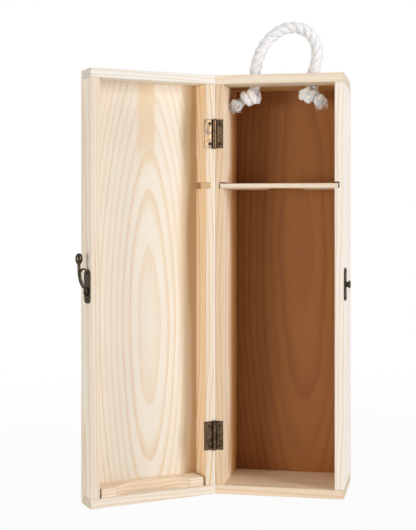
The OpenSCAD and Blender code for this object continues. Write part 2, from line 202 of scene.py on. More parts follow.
def joined(shapes):
    """Several shapes as one."""
    verts, faces = [], []
    for v, f in shapes:
        faces += [tuple(i + len(verts) for i in face) for face in f]
        verts += v
    return verts, faces


# ---------------------------------------------------------------- rope: three twisted strands

ROPE_D = 10.0
ROPE_LAY, KNOT_LAY = 23.0, 12.0  # length in which the strands go round once
ROPE_ROUTE = [(-25, -9), (-25, 0), (-24.8, 5), (-23.5, 13), (-20.8, 21), (-16.5, 28.8),
              (-10.8, 35.4), (-3.8, 40.4), (4, 43), (12, 42.8), (19.2, 39.8), (24.8, 34.2),
              (28, 26.5), (28.6, 18.5), (27.2, 10.5), (25.4, 4.5), (25, 0), (25, -9)]
ROPE_STEP, KNOT_STEP = 0.6, 0.55  # from ring to ring of points
STRAND_SIDES = 30
STRAND_WIDTH = 1.08  # of a strand along the rope's skin, against its depth
STRAND_TIP = 0.16    # how far a strand's end bulges, as a share of the rope's radius
YARNS, YARN_LAY = 7, 0.55  # yarns in a strand, and their lay as a share of the strands' lay
FIBRE_RINGS, FIBRE_SIDES, FIBRE_ROOT = 6, 5, 1.2
FIBRE_R, FIBRE_LENGTH, FIBRE_TAPER = (0.12, 0.3), (1.0, 3.6), 0.75
FIBRE_SCATTER, FIBRE_BEND = 0.42, 0.45
KNOT_TURNS, KNOT_PARTS, KNOT_FIBRES = 2.0, 12, 200
TIGHT, TIGHT_LENGTH = 0.6, 6      # how much thinner the rope is in its hole, and for how long
SWELL, SWELL_LENGTH = 1.3, 8      # growth of the radius towards the cut end
WAVER, WAVER_LENGTH = 0.16, 1.7   # uneven thickness along a knot
SPLAY, SPLAY_LENGTH = 0.45, 7     # spread of the strands towards the cut end


def strands(path, s, radius, lay, splay=1, turn=0.0, apart=0.48, lobe=0.07):
    """Three strands laid round a path, and where each point lies along and round its strand.
    radius is the rope's and splay spreads the strands, with one value for each point."""
    _, n, b = frames(path)
    verts, faces, along = [], [], []
    count = len(path)
    theta = math.tau * np.arange(STRAND_SIDES) / STRAND_SIDES
    for k in range(3):
        phase = math.tau * (s / lay + k / 3) + turn
        out = np.cos(phase)[:, None] * n + np.sin(phase)[:, None] * b
        centre = path + out * (radius * apart * splay)[:, None]
        t = unit(np.gradient(centre, axis=0))
        side = unit(np.cross(t, out))
        up = np.cross(side, t)
        yarn = theta[None, :] + (s / (lay * YARN_LAY))[:, None] * math.tau
        lobes = 1 + lobe * np.cos(YARNS * yarn) + 0.015 * np.cos(3 * YARNS * yarn + 1)
        r = radius[:, None] * (1 - apart) * lobes
        pts = (centre[:, None, :] + (r * np.cos(theta))[:, :, None] * up[:, None, :]
               + (r * STRAND_WIDTH * np.sin(theta))[:, :, None] * side[:, None, :])
        start = len(verts)
        verts += [tuple(v) for v in pts.reshape(-1, 3)]
        along += [(x, y) for x, row in zip(s, yarn) for y in row]
        faces += tube(count, STRAND_SIDES, start)
        for first, ring, way in ((start, 0, -1), (start + (count - 1) * STRAND_SIDES, -1, 1)):
            tip = len(verts)
            verts.append(tuple(centre[ring] + t[ring] * way * radius[ring] * STRAND_TIP))
            along.append((s[ring], 0))
            for j in range(STRAND_SIDES):
                pair = (first + j, first + (j + 1) % STRAND_SIDES)
                faces.append((*pair[::-way], tip))
    return verts, faces, along


def tuft(rng, base, direction, count, spread):
    """Loose cotton fibres that stand out from a cut end, as thin tapered tubes."""
    shapes = []
    direction = np.array(direction) / np.linalg.norm(direction)
    w = np.linspace(0, 1, FIBRE_RINGS)[:, None]
    for _ in range(count):
        start = base + rng.normal(0, 1, 3) * spread * 0.5
        aim = direction + rng.normal(0, FIBRE_SCATTER, 3)
        aim /= np.linalg.norm(aim)
        bend = rng.normal(0, FIBRE_BEND, 3)
        length = rng.uniform(*FIBRE_LENGTH) + FIBRE_ROOT
        line = start - aim * FIBRE_ROOT + (aim * w + bend * w ** 2 * 0.5) * length
        _, n, b = frames(line)
        thick = rng.uniform(*FIBRE_R) * (1 - FIBRE_TAPER * w[:, 0])
        verts = [tuple(line[i] + thick[i] * (math.cos(a) * n[i] + math.sin(a) * b[i]))
                 for i in range(FIBRE_RINGS) for a in circle(FIBRE_SIDES)]
        shapes.append((verts, capped(FIBRE_RINGS, FIBRE_SIDES)))
    return joined(shapes)


def rope_piece(name, verts, faces, along):
    """A piece of rope whose points know where they lie along and round their strand."""
    obj = new_object(name, verts, faces)
    layer = obj.data.attributes.new("yarn", "FLOAT_VECTOR", "POINT")
    layer.data.foreach_set("vector", [c for a in along for c in (a[0], a[1], 0.0)])
    return obj


route, route_s = spline([(x, MID_Y, HEIGHT + z) for x, z in ROPE_ROUTE], ROPE_STEP)
rope = rope_piece("rope_loop", *strands(route, route_s, np.full(len(route), ROPE_D / 2), ROPE_LAY))
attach(rope, "box")
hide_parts("rope_handle")


def knot_piece(name, hole_x, middle, axis, pitch, coil, radius, tail, seed):
    """A stopper knot: the rope comes down from its hole, winds round the knot's axis in turns
    that lie side by side, and leaves in a short loose end whose strands spread. pitch is the
    way from turn to turn, coil the radius of a turn and radius the rope's in the knot."""
    a = Vector(axis).normalized()
    up = (Z - a * a.z).normalized()
    line = [Vector((hole_x, MID_Y, HEIGHT - 8.0)), Vector((hole_x, MID_Y + 0.5, HEIGHT - 10.5))]
    for k in range(round(KNOT_TURNS * KNOT_PARTS) + 1):
        angle = math.radians(-90 - 360 / KNOT_PARTS * k)
        line.append(Vector(middle) + a * pitch * (k / KNOT_PARTS - KNOT_TURNS / 2)
                    + coil * (math.cos(angle) * up + math.sin(angle) * -Y))
    line += [Vector(p) for p in tail]
    path, along = spline(line, KNOT_STEP)
    left = along[-1] - along
    r = radius + (ROPE_D / 2 - TIGHT - radius) * np.clip(1 - along / TIGHT_LENGTH, 0, 1)
    r = r + SWELL * np.clip(1 - left / SWELL_LENGTH, 0, 1) + WAVER * np.sin(along / WAVER_LENGTH)
    splay = 1 + SPLAY * np.clip(1 - left / SPLAY_LENGTH, 0, 1) ** 1.5
    verts, faces, yarn = strands(path, along, r, KNOT_LAY, splay, turn=0.7, apart=0.43, lobe=0.03)
    rng = np.random.default_rng(seed)
    hair = tuft(rng, path[-1], path[-1] - path[-4], KNOT_FIBRES, r[-1])
    yarn += [(0.0, 0.0)] * len(hair[0])
    obj = rope_piece(name, *joined([(verts, faces), hair]), yarn)
    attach(obj, "box")
    return obj


knot_left = knot_piece(
    "rope_tied_left", -25, (-28.4, -6.5, 333.6), (-0.96, 0, -0.27), pitch=6.2, coil=3.7,
    radius=3.5, tail=[(-37.4, -4.4, 329.4), (-39.6, -6.0, 327.6), (-41.2, -7.0, 326.6)], seed=3)
knot_right = knot_piece(
    "rope_tied_right", 25, (22.0, -6.5, 334.8), (0.88, 0, -0.48), pitch=5.4, coil=3.8,
    radius=3.4, tail=[(30.6, -6.4, 331.6), (31.6, -7.4, 330.0), (32.0, -7.6, 328.8)], seed=5)
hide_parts("rope_knot_left")
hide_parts("rope_knot_right")

# ---------------------------------------------------------------- material helpers


class Nodes:
    """Short calls for one node tree."""

    def __init__(self, tree):
        self.tree = tree

    def put(self, socket, value):
        """Link an output to a socket, or set the socket to a constant."""
        if isinstance(value, bpy.types.NodeSocket):
            self.tree.links.new(value, socket)
        else:
            socket.default_value = value

    def fill(self, node, inputs):
        for key, value in inputs.items():
            self.put(node.inputs[key], value)
        return node

    def add(self, kind, inputs=None, **settings):
        node = self.tree.nodes.new(kind)
        for key, value in settings.items():
            setattr(node, key, value)
        return self.fill(node, inputs or {})

    def math(self, op, *values, clamp=False):
        return self.add("ShaderNodeMath", dict(enumerate(values)), operation=op,
                        use_clamp=clamp).outputs[0]

    def plus(self, a, b):
        return self.math("ADD", a, b)

    def minus(self, a, b):
        return self.math("SUBTRACT", a, b)

    def times(self, a, b, clamp=False):
        return self.math("MULTIPLY", a, b, clamp=clamp)

    def vector(self, op, *values, out=0):
        return self.add("ShaderNodeVectorMath", dict(enumerate(values)), operation=op).outputs[out]

    def split(self, vector):
        return self.add("ShaderNodeSeparateXYZ", {"Vector": vector}).outputs

    def coords(self):
        return self.add("ShaderNodeTexCoord").outputs

    def stored(self, name):
        """What the mesh itself holds under this name."""
        return self.add("ShaderNodeAttribute", attribute_name=name,
                        attribute_type="GEOMETRY").outputs

    def step(self, value, low, high, to_low=0.0, to_high=1.0):
        """A smooth rise from to_low at low to to_high at high."""
        return self.add("ShaderNodeMapRange", {
            "Value": value, "From Min": low, "From Max": high, "To Min": to_low,
            "To Max": to_high}, interpolation_type="SMOOTHSTEP").outputs["Result"]

    def noise(self, vector, scale, detail, rough, seed, out="Fac"):
        return self.add("ShaderNodeTexNoise", {
            "Vector": vector, "Scale": scale, "Detail": detail, "Roughness": rough, "W": seed},
            noise_dimensions="4D").outputs[out]

    def mix(self, fac, a, b, blend="MIX"):
        return self.add("ShaderNodeMix", {0: fac, 6: a, 7: b}, data_type="RGBA",
                        blend_type=blend).outputs[2]

    def bump(self, bsdf, height, strength, distance):
        made = self.add("ShaderNodeBump", {"Strength": strength, "Distance": distance,
                                           "Height": height})
        self.put(bsdf.inputs["Normal"], made.outputs[0])

    def seen(self):
        """1 where the camera sees a thing itself, or sees it in metal or through glass."""
        paths = self.add("ShaderNodeLightPath").outputs
        return self.math("MAXIMUM", paths["Is Camera Ray"], self.math(
            "MAXIMUM", paths["Is Glossy Ray"], paths["Is Transmission Ray"]))


def rgb(*c):
    """Linear colour of an sRGB colour from 0 to 255."""
    lin = [x / 255 / 12.92 if x <= 10.31 else ((x / 255 + 0.055) / 1.055) ** 2.4 for x in c]
    return (*lin, 1.0)


def cleared(owner):
    """The emptied node tree of a material or of the world."""
    owner.use_nodes = True
    owner.node_tree.nodes.clear()
    return Nodes(owner.node_tree)


def new_material(name):
    mat = bpy.data.materials.new(name)
    n = cleared(mat)
    bsdf = n.add("ShaderNodeBsdfPrincipled")
    n.add("ShaderNodeOutputMaterial", {"Surface": bsdf.outputs[0]})
    return mat, n, bsdf


# ---------------------------------------------------------------- pine

# SHADED is the colour of painted shade on faces deep inside the box.
CREAM, TAN, SHADED = rgb(236, 226, 210), rgb(225, 193, 155), rgb(222, 187, 137)
RING_END = 0.92       # the late wood of a ring is darkest here and then stops short
WAVE = 0.08           # how much of the drift goes into the width of the rings
EDGE_WORN = 1.1, 0.15  # distances from an edge at which its wear starts and is full
BAND_FADE = 22, 12  # a band fades in from this far below its lower end to this far above
BAND_STRENGTH, BAND_WANDER, BAND_CORE = 0.85, 9.0, 0.55


def pine_group():
    """Growth rings round a heart line beside the board, with fibres along the grain.
    Vector is in board coordinates: across the face, through the thickness, along the grain."""
    tree = bpy.data.node_groups.new("pine_rings", "ShaderNodeTree")
    face = tree.interface
    face.new_socket("Vector", in_out="INPUT", socket_type="NodeSocketVector")
    for name in ("Heart across", "Heart behind", "Ring width", "Arch", "Arch middle", "Lean",
                 "Drift", "Seed"):
        face.new_socket(name, in_out="INPUT", socket_type="NodeSocketFloat")
    for name in ("Late", "Fibre", "Cloud", "Fleck", "Fine"):
        face.new_socket(name, in_out="OUTPUT", socket_type="NodeSocketFloat")
    n = Nodes(tree)
    inp = n.add("NodeGroupInput").outputs
    vec, seed = inp["Vector"], inp["Seed"]

    def grained(across, along, detail, rough, out="Fac"):
        """Noise that changes quickly across the board and slowly along its grain."""
        stretched = n.vector("MULTIPLY", vec, (across, across, along))
        return n.noise(stretched, 1.0, detail, rough, seed, out)

    drift = n.vector("SUBTRACT", grained(0.022, 0.0065, 2.0, 0.5, "Color"), (0.5, 0.5, 0.5))
    wide = n.add("ShaderNodeCombineXYZ", {"X": inp["Drift"], "Y": inp["Drift"]}).outputs[0]
    bent = n.split(n.vector("ADD", vec, n.vector("MULTIPLY", drift, wide)))
    u = n.minus(bent[0], inp["Heart across"])
    v = n.minus(bent[1], inp["Heart behind"])
    r = n.math("SQRT", n.plus(n.times(u, u), n.times(v, v)))
    dz = n.minus(bent[2], inp["Arch middle"])
    arch = n.times(n.times(dz, dz), inp["Arch"])
    grown = n.plus(n.plus(r, arch), n.times(dz, inp["Lean"]))
    wave = n.minus(grained(0.09, 0.012, 2.0, 0.5), 0.5)
    ring = n.plus(n.math("DIVIDE", grown, inp["Ring width"]),
                  n.times(wave, n.times(inp["Drift"], WAVE)))
    part = n.math("FRACT", ring)
    own = n.add("ShaderNodeCombineXYZ", {"X": n.math("FLOOR", ring), "Y": seed}).outputs[0]
    luck = n.add("ShaderNodeTexWhiteNoise", noise_dimensions="2D")
    luck = n.fill(luck, {"Vector": own}).outputs["Value"]
    start = n.plus(0.28, n.times(luck, 0.2))
    rise = n.step(n.math("DIVIDE", n.minus(part, start), n.minus(RING_END, start)), 0.0, 1.0)
    late = n.times(rise, n.step(part, 1.0, RING_END))
    strength = n.plus(0.35, n.times(luck, 0.65))
    soft = n.plus(0.6, grained(0.5, 0.02, 2.0, 0.6))
    n.add("NodeGroupOutput", {
        "Late": n.times(late, n.times(strength, soft)),
        "Fibre": grained(0.9, 0.018, 4.0, 0.65),
        "Cloud": grained(0.03, 0.008, 2.0, 0.5),
        "Fleck": n.step(grained(2.6, 0.16, 1.0, 0.4), 0.68, 0.78),
        "Fine": grained(5.0, 0.22, 3.0, 0.7)})
    return tree


PINE = pine_group()


def pine(name, axes, origin, half, early, heart, ring, late=TAN, arch=0.0, middle=0.0, lean=0.0,
         drift=7.0, seed=0.0, contrast=1.0, end_dark=0.16, worn=0.12, toned=(), streaks=()):
    """Pine for one board. axes are the board's across, thickness and grain directions, and origin
    its middle, both in the row frame at rest. half is the board's half size along the axes.
    early and late are the two colours of a ring. heart is where the rings' middle lies, across
    and through the board, and ring their width. arch bends them to both sides of middle.
    toned paints shade on whole faces: each has a direction, the colour of the painted shade that
    darkens the faces on that side, and perhaps two depths between which it sets in. The bands
    along the grain of the inner face are streaks in the wood and painted shadow beside a rail;
    each has the place across, the lower end along the grain, the half width and the colour."""
    mat, n, bsdf = new_material(name)
    coords = n.coords()

    def towards(direction):
        return n.vector("DOT_PRODUCT", coords["Normal"], tuple(direction), out="Value")

    turn = Matrix(axes)
    vec = n.add("ShaderNodeMapping", {
        "Vector": coords["Object"], "Scale": (1 / MM, 1 / MM, 1 / MM),
        "Rotation": turn.to_euler("XYZ"), "Location": -(turn @ Vector(origin))}).outputs[0]
    g = n.add("ShaderNodeGroup", {
        "Vector": vec, "Heart across": heart[0], "Heart behind": heart[1], "Ring width": ring,
        "Arch": arch, "Arch middle": middle, "Lean": lean, "Drift": drift, "Seed": seed},
        node_tree=PINE).outputs
    line = n.times(g["Late"], contrast, clamp=True)
    col = n.mix(line, early, late)
    cloud = n.minus(g["Cloud"], 0.5)
    col = n.mix(n.times(cloud, 0.9, clamp=True), col, late)
    fibre = n.times(n.minus(g["Fibre"], 0.5), 0.12)
    fine = n.times(n.minus(g["Fine"], 0.5), 0.05)
    shade = n.plus(1.0, n.plus(fibre, fine))
    shade = n.minus(shade, n.times(g["Fleck"], 0.10))
    end = n.step(n.math("ABSOLUTE", towards(axes[2])), 0.6, 0.9)
    shade = n.minus(shade, n.times(end, end_dark))
    # Handled edges: the second smallest distance to the board's faces is the distance to an edge.
    at = n.split(vec)
    d = [n.minus(h, n.math("ABSOLUTE", s)) for h, s in zip(half, at)]
    low, high = n.math("MINIMUM", d[0], d[1]), n.math("MAXIMUM", d[0], d[1])
    edge = n.math("MAXIMUM", low, n.math("MINIMUM", high, d[2]))
    wear = n.times(n.step(edge, *EDGE_WORN), n.step(g["Fine"], 0.35, 0.65))
    shade = n.minus(shade, n.times(wear, worn))
    inner = n.step(towards(axes[1]), 0.5, 0.8)
    # Bands along the grain of the inner face: streaks in the wood, and painted shadow where a rail
    # shades the face.
    for across, above, half_width, tone in streaks:
        off = n.minus(at[0], n.plus(across, n.times(cloud, BAND_WANDER)))
        band = n.times(n.step(n.math("ABSOLUTE", off), half_width, half_width * BAND_CORE),
                       n.step(at[2], above - BAND_FADE[0], above + BAND_FADE[1]))
        col = n.mix(n.times(n.times(band, inner), BAND_STRENGTH), col, tone)
    # Painted shade: faces that point one way get darker, and with two depths only from the first
    # depth towards the back.
    for direction, tone, *depths in toned:
        shade_mask = n.step(towards(direction), 0.5, 0.8)
        if depths:
            shade_mask = n.times(shade_mask, n.step(n.split(coords["Object"])[1], *(d * MM for d in depths)))
        col = n.mix(shade_mask, col, tone, "MULTIPLY")
    grey = n.add("ShaderNodeCombineColor", {"Red": shade, "Green": shade, "Blue": shade})
    n.fill(bsdf, {
        "Base Color": n.mix(1.0, col, grey.outputs[0], "MULTIPLY"),
        "Roughness": n.minus(n.plus(0.5, n.times(g["Fibre"], 0.16)), n.times(line, 0.06)),
        "Specular IOR Level": 0.35})
    height = n.plus(n.times(g["Fibre"], 0.9),
                    n.plus(n.times(g["Late"], 0.35), n.times(g["Fine"], 0.35)))
    n.bump(bsdf, height, 0.35, 0.0002)
    return mat


# ---------------------------------------------------------------- pieces cut from the solids

EASE = 0.4      # radius of the boards' edges
HAIR = 0.001    # how far the shape that rounds a board stands proud of its faces
WELD = 2e-7     # distance in metres at which two points count as one
BOARD_SHARP, METAL_SHARP, TURNED_SHARP = 12, 14, 45  # degrees at which an edge stays sharp


def mesh_of(bm, name):
    mesh = bpy.data.meshes.new(name)
    bm.to_mesh(mesh)
    bm.free()
    return mesh


def bevel(bm, edges, width, segments):
    return bmesh.ops.bevel(bm, geom=edges, offset=width * MM, offset_type="OFFSET",
                           segments=segments, profile=0.5, affect="EDGES", clamp_overlap=False)


def stand_for(node, name, mesh, sharp):
    """A piece with this mesh in the place of a solid."""
    obj = linked(name, mesh)
    sharpen(obj, sharp)
    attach(obj, frame["nodes"][node]["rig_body"])
    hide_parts(node)
    return obj


def welded(node):
    """The mesh of a solid with its doubled points made one."""
    bm = bmesh.new()
    bm.from_mesh(frame["nodes"][node].data)
    bmesh.ops.remove_doubles(bm, verts=bm.verts, dist=WELD)
    return bm


def planed(node, name, axes, middle, half):
    """A board whose solid has its outer edges rounded over."""
    bm = bmesh.new()
    bmesh.ops.create_cube(bm, size=2 * MM)
    for v in bm.verts:
        v.co = MM * middle + sum(((c / MM) * (h + HAIR) * MM * a
                                  for c, h, a in zip(v.co, half, axes)), Vector())
    bmesh.ops.recalc_face_normals(bm, faces=bm.faces)
    bevel(bm, bm.edges[:], EASE, 3)
    cutter = linked(name + "_outside", mesh_of(bm, name + "_outside"))
    solid = linked(name + "_solid", mesh_of(welded(node), name))
    cut = solid.modifiers.new("round", "BOOLEAN")
    cut.operation, cut.solver, cut.object = "INTERSECT", "EXACT", cutter
    dg = bpy.context.evaluated_depsgraph_get()
    mesh = bpy.data.meshes.new_from_object(solid.evaluated_get(dg))
    mesh.name = name
    bpy.data.objects.remove(solid)
    bpy.data.objects.remove(cutter)
    return stand_for(node, name, mesh, BOARD_SHARP)


def eased(node, name, width, material):
    """A metal part whose solid has its sharp edges eased. The layer edge marks where."""
    bm = welded(node)
    bmesh.ops.dissolve_limit(bm, angle_limit=math.radians(0.5), verts=bm.verts, edges=bm.edges)
    edges = [e for e in bm.edges if e.is_manifold and e.is_convex
             and e.calc_face_angle() > math.radians(50)]
    rubbed = set(bevel(bm, edges, width, 2)["faces"])
    layer = bm.faces.layers.float.new("edge")
    for f in bm.faces:
        f[layer] = 1.0 if f in rubbed else 0.0
    bmesh.ops.triangulate(bm, faces=[f for f in bm.faces if len(f.verts) > 4])
    obj = stand_for(node, name, mesh_of(bm, name), METAL_SHARP)
    obj.data.materials.append(material)


def board(node, low, high, grain, face, slot, lid=False, **look):
    """A pine board. low and high are its corners in millimetres, in the closed lid's place for a
    lid board. grain and face are the axes along the grain and through the thickness."""
    low, high = Vector(low), Vector(high)
    axes = [face.cross(grain), face, grain]
    middle = (low + high) / 2
    half = [abs((high - low) @ a) / 2 for a in axes]
    if lid:
        axes = [OPEN @ a for a in axes]
        middle = swung(middle)
    obj = planed(node, node + "_board", axes, middle, half)
    obj.data.materials.append(pine(node + "_pine", axes, middle, half, **look))


W, H = HALF_W, HEIGHT
box_board = functools.partial(board, slot="pine_box")
lid_board = functools.partial(board, slot="pine_lid", lid=True)

# The left side gets painted shade: its inner face darkens towards the back, and its front edge and
# outer face are a little darker.
box_board("box_left_side", (-W, FRONT_Y, BOARD), (-INNER_W, INNER_Y, H - BOARD), Z, X,
          early=rgb(249, 229, 203), late=rgb(231, 194, 152), heart=(6, 38), ring=3.4,
          arch=1.6e-4, middle=-30, seed=2.0,
          toned=[(X, rgb(214, 174, 122), -14, 12), (-Y, rgb(229, 219, 208)),
                 (-X, rgb(240, 234, 228))])
# The right side's inner face gets painted shade that deepens towards the back.
box_board("box_right_side", (INNER_W, FRONT_Y, BOARD), (W, INNER_Y, H - BOARD), Z, X,
          early=rgb(243, 235, 225), heart=(-10, 60), ring=3.0, lean=0.01, seed=3.0,
          contrast=0.55, toned=[(-X, SHADED, -14, 12)])
# The top board's underside gets painted shade that deepens towards the back.
box_board("box_top", (-W, FRONT_Y, H - BOARD), (W, INNER_Y, H), X, Z,
          early=rgb(236, 222, 202), heart=(4, -34), ring=3.6, arch=3e-4, middle=12, seed=4.0,
          contrast=0.7, toned=[(-Z, SHADED, -20, -2)])
box_board("box_bottom", (-W, FRONT_Y, 0), (W, INNER_Y, BOARD), X, Z,
          early=rgb(234, 212, 186), heart=(-8, -30), ring=3.8, arch=2e-4, middle=-20, seed=5.0,
          contrast=0.8)
# The back panel is a browner wood, and its inner face gets dark painted shade on top of that.
box_board("box_back_panel", (-W, INNER_Y, 0), (W, REAR_Y, H), Z, Y,
          early=rgb(226, 194, 154), late=rgb(196, 150, 102), heart=(12, 36), ring=4.4,
          arch=2.6e-4, middle=40, seed=6.0, contrast=0.9, toned=[(-Y, rgb(170, 124, 66))])
board("neck_divider", (-DIVIDER_HALF_W, FRONT_Y, DIVIDER_LOW),
      (DIVIDER_HALF_W, DIVIDER_REAR_Y, DIVIDER_HIGH), X, Z, "pine_thin",
      early=rgb(233, 218, 202), heart=(0, 50), ring=3.0, seed=7.0)
# On the lid panel the first band is a streak in the wood; the other two paint the hinge rail's
# shadow on the panel beside it.
lid_board("lid_panel", (-W, LID_OUTER_Y, 0), (W, LID_INNER_Y, H), Z, Y,
          early=rgb(240, 228, 211), late=rgb(228, 199, 162), heart=(-3.8, -23.5), ring=3.9,
          arch=4.6e-4, middle=-32, drift=3.0, seed=25.6, contrast=0.7,
          streaks=[(-1, 112, 9, rgb(230, 204, 168)), (-44, -400, 15, rgb(232, 204, 168)),
                   (-47, -400, 9, rgb(204, 161, 112))])
# The hinge rail's inner face gets painted warm shade, and its rim a little painted shade.
lid_board("lid_hinge_rail", (-W, LID_INNER_Y, BOARD), (-INNER_W, LID_RIM_Y, H - BOARD), Z, X,
          early=rgb(236, 221, 200), late=rgb(224, 184, 138), heart=(14, 26), ring=3.2,
          arch=2.2e-4, seed=9.0,
          toned=[(OPEN @ X, rgb(252, 241, 224)), (OPEN @ Y, rgb(250, 249, 247))])
# The latch rail's rim gets a little painted shade.
lid_board("lid_latch_rail", (INNER_W, LID_INNER_Y, BOARD), (W, LID_RIM_Y, H - BOARD), Z, X,
          early=rgb(241, 231, 216), heart=(8, 46), ring=2.9, lean=0.012, seed=10.0,
          contrast=0.7, toned=[(OPEN @ Y, rgb(247, 243, 237))])
lid_board("lid_top_rail", (-W, LID_INNER_Y, H - BOARD), (W, LID_RIM_Y, H), X, Z,
          early=rgb(236, 231, 222), heart=(5, -40), ring=3.3, arch=1e-4, seed=11.0, contrast=0.6)
lid_board("lid_bottom_rail", (-W, LID_INNER_Y, 0), (W, LID_RIM_Y, BOARD), X, Z,
          early=CREAM, heart=(-5, -38), ring=3.5, arch=2e-4, middle=15, seed=12.0, contrast=0.8)
lid_board("lid_cradle", (-CRADLE_HALF_W, LID_INNER_Y, BOARD),
          (CRADLE_HALF_W, CRADLE_FRONT_Y, 2 * BOARD), X, Z,
          early=rgb(240, 220, 196), heart=(10, -36), ring=3.2, arch=2e-4, seed=13.0)

# ---------------------------------------------------------------- metal


def brass(name, seed, dark, mid, bright, rough, metallic=1.0, coat=0.0):
    """Cast or stamped brass with a brown-black patina, rubbed brighter on its edges."""
    mat, n, bsdf = new_material(name)
    vec = n.coords()["Object"]
    cloud = n.noise(vec, 260.0, 3.0, 0.6, seed)
    grain = n.noise(vec, 1500.0, 3.0, 0.7, seed)
    speck = n.noise(vec, 3200.0, 2.0, 0.5, seed + 3)
    edge = n.times(n.stored("edge")["Fac"], n.step(grain, 0.3, 0.6))
    high = n.math("MAXIMUM", edge, n.times(n.step(grain, 0.56, 0.74), 0.6))
    col = n.mix(n.step(cloud, 0.35, 0.68), rgb(*dark), rgb(*mid))
    col = n.mix(high, col, rgb(*bright))
    col = n.mix(n.times(n.step(speck, 0.6, 0.72), 0.55), col, rgb(*dark))
    n.fill(bsdf, {
        "Base Color": col, "Metallic": metallic, "Coat Weight": coat, "Coat Roughness": 0.2,
        "Specular Tint": (0.7, 0.66, 0.62, 1),
        "Roughness": n.plus(rough, n.times(n.minus(grain, 0.5), 0.35))})
    n.bump(bsdf, n.plus(n.times(grain, 0.6), cloud), 0.5, 0.00012)
    return mat


LEAF_BRASS = brass("leaf_brass", 1.0, (51, 39, 25), (104, 78, 50), (194, 168, 130), 0.23,
                   coat=0.45)
BRASS = brass("patina_brass", 2.0, (42, 37, 30), (80, 71, 57), (160, 148, 122), 0.28)
PLATE_BRASS = brass("plate_brass", 3.0, (41, 35, 32), (72, 61, 53), (118, 100, 78), 0.4,
                    metallic=0.9)
NAIL_BRASS = brass("nail_brass", 5.0, (36, 29, 21), (70, 59, 43), (140, 124, 94), 0.28)
STEEL = brass("brad_steel", 9.0, (110, 104, 94), (150, 145, 136), (190, 186, 178), 0.4)

for which in ("upper", "lower"):
    for leaf in ("box_leaf", "lid_leaf"):
        eased(f"hinge_{which}_{leaf}", f"hinge_{which}_{leaf}_rolled", 0.1, LEAF_BRASS)
for plate in ("latch_plate", "catch_plate"):
    eased(plate, plate + "_stamped", 0.3, PLATE_BRASS)


def metal_piece(name, shapes, body, node, material):
    """A turned or domed piece in the place of a solid."""
    obj = new_object(name, *joined(shapes))
    sharpen(obj, TURNED_SHARP)
    obj.data.materials.append(material)
    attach(obj, body)
    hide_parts(node)


def out_of(place, direction, where):
    """Matrix that stands a turned shape at a point with its +X along a direction."""
    d = where(Vector(place) + Vector(direction)) - where(Vector(place))
    rot = d.to_track_quat("X", "Z").to_matrix().to_4x4()
    return Matrix.Translation(where(Vector(place))) @ rot


def nail(length, r, head_r, head_h, rings=6):
    """Profile of a nail with a pointed shank and a domed head, whose underside is at 0."""
    lip = 0.25 * head_h
    dome = [(lip + (head_h - lip) * math.sin(a), head_r * math.cos(a))
            for a in [math.pi / 2 * k / rings for k in range(1, rings)]]
    return [(-length, r * 0.35), (1.0 - length, r), (0.0, r), (0.0, head_r), (lip, head_r),
            *dome, (head_h, 0.05 * head_r)]


NAIL = lathe(nail(6.0, 0.6, 1.4, 0.6))
PLATE_FACE_X = HALF_W + PLATE_T
for name, y, direction, where, body, node in (
        ("hinge_nails_box", FRONT_Y - LEAF_T, -Y, same, "box", "hinge_box_nails"),
        ("hinge_nails_lid", LID_RIM_Y + LEAF_T, Y, swung, "lid", "hinge_lid_nails")):
    spots = [(LEAF_NAIL_X, y, z + dz) for z in HINGE_Z for dz in (-LEAF_NAIL_DZ, LEAF_NAIL_DZ)]
    metal_piece(name, [placed(NAIL, out_of(p, direction, where)) for p in spots],
                body, node, NAIL_BRASS)
for name, y, where, body, node in (
        ("catch_nails_domed", FRONT_Y + PLATE_SET, same, "box", "catch_nails"),
        ("latch_nails_domed", LID_RIM_Y - PLATE_SET, swung, "lid", "latch_nails")):
    spots = [(PLATE_FACE_X, y, LATCH_Z + dz) for dz in (-PLATE_NAIL_DZ, PLATE_NAIL_DZ)]
    metal_piece(name, [placed(NAIL, out_of(p, X, where)) for p in spots], body, node, NAIL_BRASS)

# Profiles in (distance out, radius). The stud has a waist for the claw under its broad head.
STUD = [(-5.0, 1.5), (PLATE_T, 1.5), (PLATE_T, 2.6), (PLATE_T + 0.35, 2.6), (PLATE_T + 0.6, 2.3),
        (3.3, 2.2), (3.5, 2.4), (3.55, 3.0), (3.75, 3.2), (4.5, 3.2), (4.85, 3.05), (5.1, 2.6),
        (5.25, 1.8), (5.3, 0.3)]
RIVET = [(-5.0, 1.5), (3.3, 1.5), (3.3, 2.45), (3.4, 2.6), (3.55, 2.6), (3.8, 2.3), (4.0, 1.7),
         (4.1, 0.9), (4.1, 0.1)]
PIN_END = [(-12.6, 0.1), (-12.55, 0.6), (-12.35, 1.0), (-12.15, 1.1), (-12.0, 1.1), (-12.0, 0.85)]
PIN_WHOLE = PIN_END + [(-h, r) for h, r in reversed(PIN_END)]

stud_at = Vector((HALF_W, FRONT_Y + PIVOT_SET, LATCH_Z))
pivot_at = Vector((HALF_W, LID_RIM_Y - PIVOT_SET, LATCH_Z - PIVOT_DROP))
metal_piece("catch_stud_turned", [placed(lathe(STUD, 40), out_of(stud_at, X, same))],
            "box", "catch_stud", BRASS)
metal_piece("latch_rivet_domed", [placed(lathe(RIVET, 36), out_of(pivot_at, X, swung))],
            "lid", "latch_rivet", NAIL_BRASS)
for which, z in zip(("upper", "lower"), HINGE_Z):
    at = out_of((PIN.x, PIN.y, z), Z, same)
    metal_piece(f"hinge_{which}_pin_headed", [placed(lathe(PIN_WHOLE, 24), at)],
                "box", f"hinge_{which}_pin", NAIL_BRASS)

for node in ("box_brads", "lid_brads"):
    slots = frame["nodes"][node].data.materials
    slots.clear()
    slots.append(STEEL)

# ---------------------------------------------------------------- the hook

